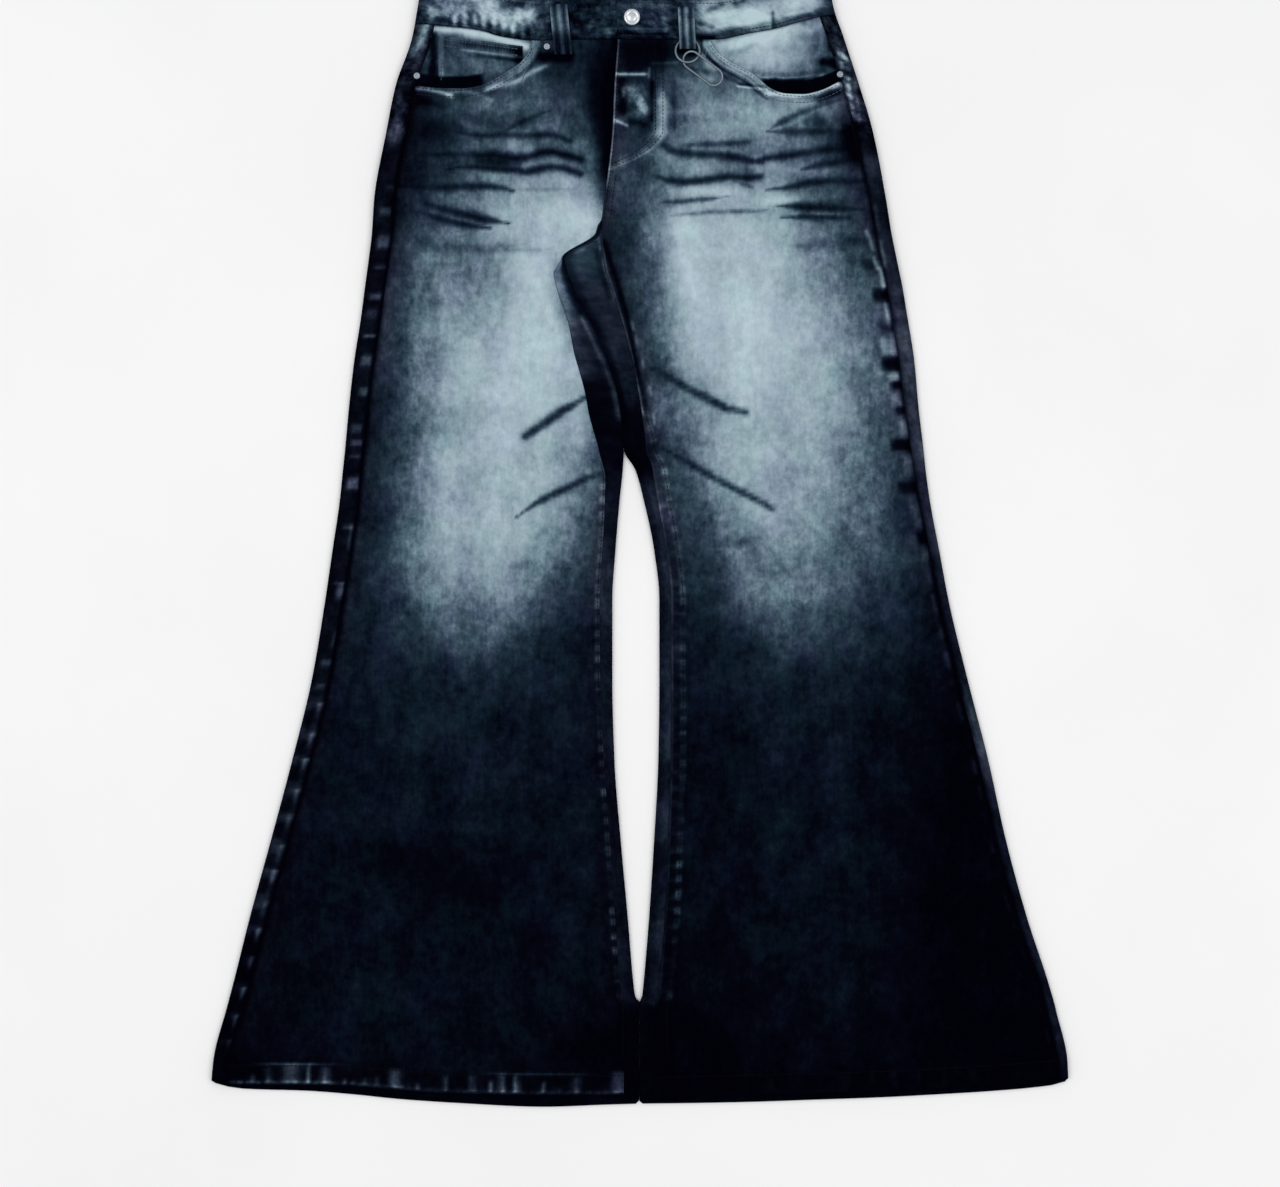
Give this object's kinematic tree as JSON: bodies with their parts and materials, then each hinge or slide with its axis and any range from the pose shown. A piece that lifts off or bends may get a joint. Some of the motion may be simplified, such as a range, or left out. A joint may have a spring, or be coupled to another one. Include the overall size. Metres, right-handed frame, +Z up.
{
  "type": "flared jeans",
  "caption": "Pair of flared five-pocket denim jeans laid flat, front up, with a metal ring and oval link on the right front belt loop.",
  "frame": {"origin": "bottom centre of the bounding box, on the surface that the jeans lie on", "axes": "+Y from the hems to the waist, along the length; +X to the viewer's right, which is the wearer's left; +Z up out of the front"},
  "size_m": [0.8232, 1.0915, 0.0162],
  "materials": {
    "denim": "dark indigo twill, faded to pale blue-grey on the thighs",
    "denim_facing": "pale washed indigo twill",
    "polished_metal": "polished"
  },
  "bodies": {
    "jeans": {"front_panel_left": "denim", "front_panel_right": "denim", "back_panel_left": "denim", "back_panel_right": "denim", "yoke_left": "denim", "yoke_right": "denim", "waistband": "denim", "fly_facing": "denim", "pocket_facing_left": "denim_facing", "pocket_facing_right": "denim_facing", "coin_pocket": "denim", "back_pocket_left": "denim", "back_pocket_right": "denim", "belt_loop_front_left": "denim", "belt_loop_front_right": "denim", "belt_loop_back_1": "denim", "belt_loop_back_2": "denim", "belt_loop_back_3": "denim", "button": "polished_metal", "rivet_1": "polished_metal", "rivet_2": "polished_metal", "rivet_3": "polished_metal"},
    "ring": {"ring": "polished_metal"},
    "link": {"link": "polished_metal"}
  },
  "joints": [
    {"name": "ring_lift", "type": "hinge", "parent": "jeans", "child": "ring", "pos_m": [0.0461, 0.4778, 0.0088], "axis": [-1, 0, 0], "range_deg": [0, 20]},
    {"name": "link_swing", "type": "hinge", "parent": "ring", "child": "link", "pos_m": [0.05263, 0.45714, 0.01235], "axis": [0, 0, 1], "range_deg": [-30, 12]}
  ]
}
